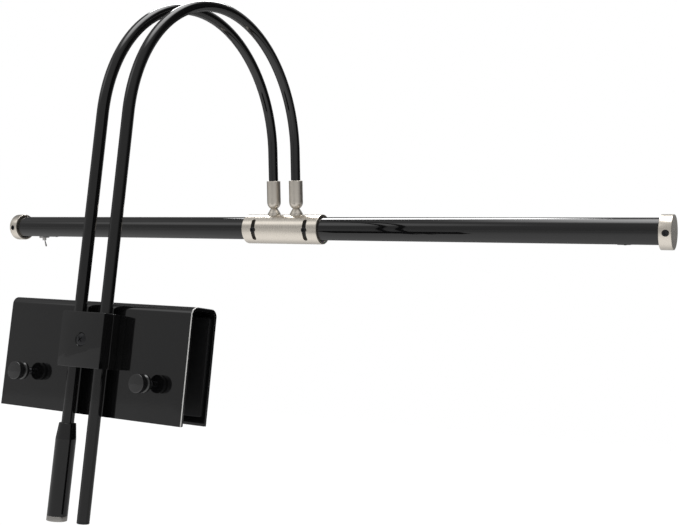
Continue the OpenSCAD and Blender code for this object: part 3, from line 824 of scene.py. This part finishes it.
def posts():
    """Bullet-ended ferrules, each on a flared foot that sits in the sleeve's wall."""
    a, r = arm_r / MM, extent("ferrule_left").x / 2
    top, neck, seat = 36, 15.5, 24
    shank_r, neck_r, bullet = 2.4, 2.7, 4.7
    step = r - neck_r
    nose_r = (step * step + bullet * bullet) / (2 * step)
    nose_angle = math.degrees(math.asin(bullet / nose_r))
    fit = a + 0.01
    cup = rounded([(fit, seat), (fit, top, 0.15), (r, top, 0.4), (r, neck + bullet)], 5,
                  closed=False)
    cup += arc(r - nose_r, neck + bullet, nose_r, 0, -nose_angle, 20)[1:]
    cup += [(neck_r - 0.15, neck + 0.02), (shank_r, neck + 0.02), (shank_r, seat)]
    spigot_r, spigot_top, foot_z = shank_r - 0.01, seat - 0.1, 9.05
    foot = rounded([
        (LEAD_HOLE_R, foot_z), (4.55, foot_z), (4.8, 11.75, 0.9), (4.0, 13.1, 1.5),
        (neck_r - 0.2, neck, 0.2), (spigot_r, neck), (spigot_r, spigot_top),
        (LEAD_HOLE_R, spigot_top)], 8)
    for side, x in post_x.items():
        place = LAMP @ shift(x)
        piece("ferrule_cup_" + side, moved(turned(cup, FINE, closed=True), place),
              MAT["nickel_post"], "arms", "satin_nickel", "ferrule_" + side, angle=30)
        piece("post_foot_" + side, moved(turned(foot, FINE, closed=True), place),
              MAT["nickel_post"], "arms", "satin_nickel", "post_" + side)


def slot_cutter(x):
    """Arc-shaped slot with round ends, cut through the sleeve's wall at x."""
    inner, outer = tube_r - 0.6, cap_r + 1
    tip = math.degrees(SLOT_R / cap_r)
    first, last = SLOT_MID - SLOT_HALF, SLOT_MID + SLOT_HALF
    end = [(tip * math.cos(math.radians(d)), SLOT_R * math.sin(math.radians(d)))
           for d in (3, 20, 40, 60, 75, 90)]
    stations = [(first - reach, half) for reach, half in end]
    steps = 20
    stations += [(first + (last - first) * k / steps, SLOT_R) for k in range(1, steps)]
    stations += [(last + reach, half) for reach, half in reversed(end)]
    bm = bmesh.new()
    rings = []
    for angle, half in stations:
        a = math.radians(angle)
        out = Vector((0, -math.sin(a), math.cos(a)))
        corners = ((inner, -half), (outer, -half), (outer, half), (inner, half))
        rings.append([bm.verts.new((Vector((x + w, 0, 0)) + out * r) * MM) for r, w in corners])
    skin(bm, rings)
    bmesh.ops.recalc_face_normals(bm, faces=bm.faces)
    return bm


def slot_pitch():
    """The slots' distance from the sleeve's middle."""
    return extent("guide_screws").x / 2 - GUIDE_HEAD_R


def centre_sleeve():
    """Short tube that the lamp turns in, with two slots round its side."""
    r, half = cap_r, sleeve_half
    bore = tube_r + 0.05
    steps, inset, edge, cut = 26, 0.6, 0.35, 0.2
    outer = [(r, (half - inset) * (2 * k / steps - 1)) for k in range(steps + 1)]
    profile = [(bore + cut, -half)] + arc(r - edge, -half + edge, edge, -90, 0, 4) + outer
    profile += arc(r - edge, half - edge, edge, 0, 90, 4)
    profile += [(bore + cut, half), (bore, half - cut), (bore, -half + cut)]
    sleeve = moved(turned(profile, 144, closed=True), ALONG_X)
    slots = [slot_cutter(sign * slot_pitch()) for sign in (-1, 1)]
    holes = [moved(turned([(LEAD_HOLE_R, 0), (LEAD_HOLE_R, 20)], 32), shift(x))
             for x in post_x.values()]
    piece("sleeve_slotted", moved(carved(sleeve, *slots, *holes), LAMP), MAT["nickel_lamp"],
          "arms", "satin_nickel", "centre_sleeve")


# ---------------------------------------------------------------- lamp

def tube_outline(r, flat):
    """Round outline with its underside cut flat, in (x, y) with y up."""
    edge = math.degrees(math.asin(flat / r))
    return arc(0, 0, r, -edge + 0.6, 180 + edge - 0.6, 150)


# an outline drawn in (x, y) and run along +Z, laid so that it runs along +X with its y up
TO_X = Matrix(((0, 0, 1, 0), (1, 0, 0, 0), (0, 1, 0, 0), (0, 0, 0, 1)))


def lamp_ends(node):
    """A node's ends along the lamp, from its centre, in millimetres."""
    low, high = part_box(node)
    return (low.x - lamp_centre.x) / MM, (high.x - lamp_centre.x) / MM


def lamp_tube():
    """Round tube with a flat underside, a window for the lens and a hole for the switch."""
    r, wall, floor_t = tube_r, 1.4, 1.2
    x0, x1 = lamp_ends("lamp_tube")
    shell = moved(prism(tube_outline(r, FLAT_DROP), x0, x1), TO_X)
    cavity = tube_outline(r - wall, FLAT_DROP - floor_t)
    cavity = moved(prism(cavity, x0 - 1, x1 + 1), TO_X)
    w0, w1 = lamp_ends("diffuser_retainers")
    gap, half = 0.05, WINDOW_HALF + 0.05
    window = [(w0 - gap, -half), (w1 + gap, -half), (w1 + gap, half), (w0 - gap, half)]
    opening = prism(window, -r - 1, -LENS_SEAT)
    hole = moved(turned([(bushing_r, -12), (bushing_r, -5)], 48), shift(switch_x))
    piece("lamp_tube_shell", moved(carved(shell, cavity, opening, hole), LAMP), MAT["tube"],
          "lamp", "black_tube", "lamp_tube", angle=25)


def lens_strip(x0, x1, proud, soft):
    """Bar in the window with a wider flange inside the tube."""
    low, flange = -FLAT_DROP - proud, 5.2
    seat, top = -LENS_SEAT, 1 - LENS_SEAT
    outline = rounded([
        (-WINDOW_HALF, low, soft), (WINDOW_HALF, low, soft), (WINDOW_HALF, seat),
        (flange, seat, 0.1), (flange, top, 0.1), (-flange, top, 0.1), (-flange, seat, 0.1),
        (-WINDOW_HALF, seat)], 5)
    return moved(prism(outline, x0, x1, 0.12), TO_X)


def plate_screw(x):
    """Low domed screw head with a cross recess, on a window plate."""
    r, proud = PLATE_SCREW_R, PLATE_SCREW_PROUD
    dome_r = (r * r + proud * proud) / (2 * proud)
    swing = math.degrees(math.asin(r / dome_r))
    dome = arc(0, dome_r - proud, dome_r, -90, -90 + swing, 10)
    head = turned([(max(rr, 0), z) for rr, z in dome] + [(r, 0.3), (0, 0.3)], 48)
    wing = [(-0.8, -0.15), (0.8, -0.15), (0.8, 0.15), (-0.8, 0.15)]
    wings = [moved(prism(wing, -2, -0.45), turn(angle, "Z")) for angle in (20, 110)]
    return moved(carved(head, *wings), shift(x, 0, -FLAT_DROP))


def lens():
    """Opal lens in the window, with a screwed plate at each end."""
    w0, w1 = lamp_ends("diffuser_retainers")
    x0, x1 = lamp_ends("diffuser")
    strip = lens_strip(x0 + 0.05, x1 - 0.05, 0, 0.25)
    piece("lens_opal", moved(strip, LAMP), MAT["opal"], "lamp", "diffuser_white", "diffuser")
    plates = [lens_strip(w0, x0, PLATE_PROUD, 0.2), lens_strip(x1, w1, PLATE_PROUD, 0.2)]
    heads = [plate_screw(x0 - PLATE_SCREW_INSET), plate_screw(w1 - PLATE_SCREW_INSET)]
    piece("lens_holders", moved(joined(*plates, *heads), LAMP), MAT["plastic"], "lamp",
          "black_plastic", "diffuser_retainers")


def end_caps():
    """Cups over the tube's ends, spun on the face, with a set screw each."""
    r, length, end_t = cap_r, cap_l, 2
    bore, cut, lip, edge = tube_r + 0.02, 0.2, 0.3, 0.5
    pitch, deep = 0.26, 0.02
    grooves = [(r - 0.6 - pitch * k, length - (deep if k % 2 else 0)) for k in range(38)]
    profile = [(bore, cut), (bore + cut, 0)] + arc(r - lip, lip, lip, -90, 0, 4)
    profile += arc(r - edge, length - edge, edge, 0, 90, 6) + grooves
    profile += [(0, length), (0, length - end_t), (bore, length - end_t)]
    hole_r, mouth_r = CAP_HOLE_R, CAP_HOLE_R + 0.3
    drill = [(hole_r, 7), (hole_r, r - 0.25), (mouth_r, r + 0.2), (mouth_r, r + 2)]
    for side, sign in (("left", -1), ("right", 1)):
        place = shift(sign * (lamp_half - cap_l)) @ turn(90 * sign, "Y")
        cup = moved(turned(profile, 144, closed=True), place)
        hole = moved(turned(drill, 48), shift(cap_screw_x(sign)), TO_CLIP)
        piece("cap_spun_" + side, moved(carved(cup, hole), LAMP), MAT["nickel_lamp"], "lamp",
              "satin_nickel", "end_cap_" + side)


def cap_screw_x(sign):
    """Place of a cap's set screw along the lamp, from the lamp's centre."""
    ends = lamp_ends("cap_screws")
    return (ends[1] if sign > 0 else ends[0]) - sign * CAP_HOLE_R


def socket_screw(r, low, high, key_r=1.15, deep=0.9, dome=0.25):
    """Grub screw or small head with a hex socket, key_r to its corners, drawn along +Z."""
    profile = rounded([(0, low), (r, low, 0.15), (r, high, dome), (0, high)], 5, closed=False)
    socket = moved(prism(hexagon(key_r), high - deep, high + 1), turn(15, "Z"))
    return carved(turned(profile, 64), socket)


def lamp_screws():
    """Set screws in the caps, and the two screws that guide the tube in the sleeve's slots."""
    r, shank_r, inner_end = cap_r, 1.15, 4.6
    caps = []
    guides = []
    for sign in (-1, 1):
        grub = socket_screw(CAP_HOLE_R - 0.05, tube_r + 0.02, r - 0.2)
        caps.append(moved(grub, shift(cap_screw_x(sign)), TO_CLIP))
        head = socket_screw(GUIDE_HEAD_R, r + 0.1, r + 0.8, key_r=0.9, deep=0.5, dome=0.3)
        shank = turned([(0, inner_end), (shank_r, inner_end), (shank_r, r + 0.3), (0, r + 0.3)], 40)
        guides.append(moved(joined(head, shank), shift(sign * slot_pitch()), TO_CLIP))
    piece("cap_grub_screws", moved(joined(*caps), LAMP), MAT["dark_steel"], "lamp", "dark_steel",
          "cap_screws")
    piece("guide_screws_pair", moved(joined(*guides), LAMP), MAT["dark_steel"], "lamp",
          "dark_steel", "guide_screws")


# ---------------------------------------------------------------- toggle switch

def toggle():
    """Threaded bushing, nut and bat lever under the lamp's left end."""
    place = LAMP @ shift(switch_x, 0, -FLAT_DROP)
    r, length, inner_end = bushing_r, 3.6, 1.2
    pivot, ball_r, lean_deg = -1.9, 1.0, -15
    bore, depth = ball_r + 0.05, 0.15
    outside = [(r, inner_end), (r, -0.2)]
    for k in range(int((length - 0.5) / THREAD_PITCH)):
        z = -0.3 - k * THREAD_PITCH
        outside += [(r, z), (r - depth, z - THREAD_PITCH / 2)]
    outside += [(r - 0.1, -length + 0.12), (r - 0.25, -length), (r - 0.3, -length), (bore, pivot),
                (bore, inner_end)]
    piece("toggle_bushing", moved(turned(outside, 64, closed=True), place), MAT["chrome"], "lamp",
          "switch_chrome", "switch_bushing", angle=25)
    flats, nut_t = 8, 1.5
    nut = moved(hex_nut(flats, nut_t, r + 0.01), place, turn(10, "Z"), shift(0, 0, -nut_t))
    piece("toggle_nut_hex", nut, MAT["chrome"], "lamp", "switch_chrome", "switch_nut", angle=25)
    bat = arc(0, 0, ball_r, 90, -62, 14)
    bat += [(0.44, -1.2), (0.42, -2.4), (0.50, -3.6), (0.68, -6.0)]
    bat += arc(0, -6.75, 0.72, 12, -90, 8)
    bat = turned([(max(rr, 0), z) for rr, z in bat], 48)
    lever = moved(bat, place, shift(0, 0, pivot), turn(lean_deg, "Y"))
    piece("toggle_bat", lever, MAT["chrome"], "lever", "switch_chrome", "switch_lever")


# ---------------------------------------------------------------- CAD shapes that stay

def keep_cad():
    """Materials for the inner parts whose CAD shape is right."""
    finish = {
        "led_carrier": "aluminium", "led_board": "board", "led_chips": "phosphor",
        "switch_body": "switch", "switch_terminals": "tin", "tube_lead": "jacket",
    }
    for node, key in finish.items():
        for slot in frame["nodes"][node].material_slots:
            slot.material = MAT[key]


# ---------------------------------------------------------------- stage, light and camera

def floor():
    """Plain pale floor, well below the light, which hangs clear of it. What the gloss mirrors of
    it dims with distance and behind the lamp."""
    radius, sides, drop = 20, 128, -1.2
    bm = bmesh.new()
    bm.faces.new([bm.verts.new((x, y, drop)) for x, y in arc(0, 0, radius, 0, 360, sides)[:-1]])
    obj = to_object(bm, "floor")
    sh = Shader("floor_pale", Roughness=0.9, Emission_Color=(1, 1, 1, 1))
    sh.base(sh.coloured(sh.noise(0.8, 2), (0.20, 0.20, 0.20), (0.22, 0.22, 0.22)))
    split = sh.node("ShaderNodeSeparateXYZ")
    sh.link(sh.coords, split.inputs[0])
    distance = sh.node("ShaderNodeVectorMath", operation="LENGTH")
    sh.link(sh.coords, distance.inputs[0])
    glow = sh.node("ShaderNodeMath", operation="MULTIPLY")
    sh.link(sh.ranged(distance.outputs["Value"], 0.82, 0.36, 1.5, 4.3), glow.inputs[0])
    sh.link(sh.ranged(split.outputs["Y"], 1.0, 0.55, 0.1, 1.1), glow.inputs[1])
    # seen straight on, the floor has one even level instead of that glow
    even_level = 0.78
    shown = sh.node("ShaderNodeLightPath").outputs["Is Camera Ray"]
    strength = sh.ranged(shown, 0.0, even_level, 0.0, 1.0)
    sh.link(glow.outputs[0], strength.node.inputs["To Min"])
    sh.link(strength, sh.bsdf.inputs["Emission Strength"])
    obj.data.materials.append(sh.material)


def softbox(name, place, aim, width, height, level):
    """Area light whose face looks level times as bright as white."""
    light = bpy.data.lights.new(name, "AREA")
    light.shape = "RECTANGLE"
    light.size = width
    light.size_y = height
    light.energy = level * math.pi * width * height
    obj = linked(name, light)
    obj.location = place
    obj.rotation_euler = (Vector(aim) - Vector(place)).to_track_quat("-Z", "Y").to_euler()


def studio():
    """White backdrop for the camera, and a room that only lights the object. A level of 1 is
    white where a wall's direction has the (x, y, z) that eased() names."""
    world = bpy.data.worlds.new("studio")
    bpy.context.scene.world = world
    world.use_nodes = True
    tree = world.node_tree
    tree.nodes.clear()
    new, link = tree.nodes.new, tree.links.new
    coords = new("ShaderNodeTexCoord")
    split = new("ShaderNodeSeparateXYZ")
    link(coords.outputs["Generated"], split.inputs[0])
    x, y, z = (split.outputs[axis] for axis in "XYZ")

    def eased(source, start, end, low, high):
        """Smooth step of a direction's part from low at start to high at end."""
        node = new("ShaderNodeMapRange")
        node.interpolation_type = "SMOOTHSTEP"
        set_range(node, start, end, low, high)
        link(source, node.inputs["Value"])
        return node.outputs["Result"]

    def combined(operation, a, b):
        node = new("ShaderNodeMath")
        node.operation = operation
        link(a, node.inputs[0])
        link(b, node.inputs[1])
        return node.outputs[0]

    # the wall on the thumb screws' side
    front = combined("MULTIPLY", eased(y, -0.35, 0.47, 0.64, 0.0), eased(z, 0.2, 0.8, 1.0, 1.15))
    # the wall behind the lamp: dim at lamp height, brighter above on the left and again below
    behind = combined("MULTIPLY", eased(z, 0.03, 0.24, 0.05, 0.45), eased(x, 0.18, 0.42, 1.0, 0.1))
    behind = combined("MULTIPLY", behind, eased(x, -0.6, 0.05, 0.5, 1.2))
    low = eased(z, -0.2, 0.06, 0.6, 0.0)
    behind = combined("MULTIPLY", combined("ADD", behind, low), eased(y, -0.10, 0.47, 0.0, 1.0))
    # a light overhead, cut off on the left
    overhead = combined("MULTIPLY", eased(z, 0.84, 0.985, 0.0, 6.0),
                        eased(x, -0.45, -0.18, 0.0, 1.0))
    # a soft round light above the thumb screws' side, to the left
    toward = new("ShaderNodeVectorMath")
    toward.operation = "DOT_PRODUCT"
    toward.inputs[1].default_value = Vector((-0.54, -0.64, 0.56)).normalized()
    link(coords.outputs["Generated"], toward.inputs[0])
    shoulder = eased(toward.outputs["Value"], 0.957, 1.0, 0.0, 1.3)
    level = combined("ADD", combined("ADD", front, behind), combined("ADD", overhead, shoulder))
    room = new("ShaderNodeBackground")
    link(level, room.inputs["Strength"])
    backdrop = new("ShaderNodeBackground")
    backdrop.inputs["Strength"].default_value = 1.0
    backdrop.inputs["Color"].default_value = (1, 1, 1, 1)
    seen = new("ShaderNodeLightPath")
    mix = new("ShaderNodeMixShader")
    link(seen.outputs["Is Camera Ray"], mix.inputs["Fac"])
    link(room.outputs[0], mix.inputs[1])
    link(backdrop.outputs[0], mix.inputs[2])
    out = new("ShaderNodeOutputWorld")
    link(mix.outputs[0], out.inputs["Surface"])
    softbox("rear_top", (-0.415, 0.634, 1.10), (-0.1, 0.176, 0.074), 0.69, 0.36, 12.0)


def camera():
    """Low, from the thumb screws' side and to the right, tilted a little."""
    data = bpy.data.cameras.new("camera")
    data.lens = 51.16
    data.sensor_width = 36
    data.shift_x = -0.0034
    data.shift_y = -0.0052
    obj = linked("camera", data)
    place = Matrix.Translation((0.3896, -0.4281, -0.0214))
    yaw, pitch, roll = 29.15, 6.13, 4.83
    obj.matrix_world = place @ turn(yaw, "Z") @ turn(90 + pitch, "X") @ turn(roll, "Z")
    bpy.context.scene.camera = obj


camera()
floor()
studio()
clip_channel()
back_liner()
screw_inserts()
for side in ("left", "right"):
    thumb_screw(side)
    press_pad(side)
clamp_block()
clamp_screw()
clamp_nut()
arms()
inlet()
posts()
centre_sleeve()
lamp_tube()
lens()
end_caps()
lamp_screws()
toggle()
keep_cad()
bpy.context.scene.view_settings.view_transform = "Standard"
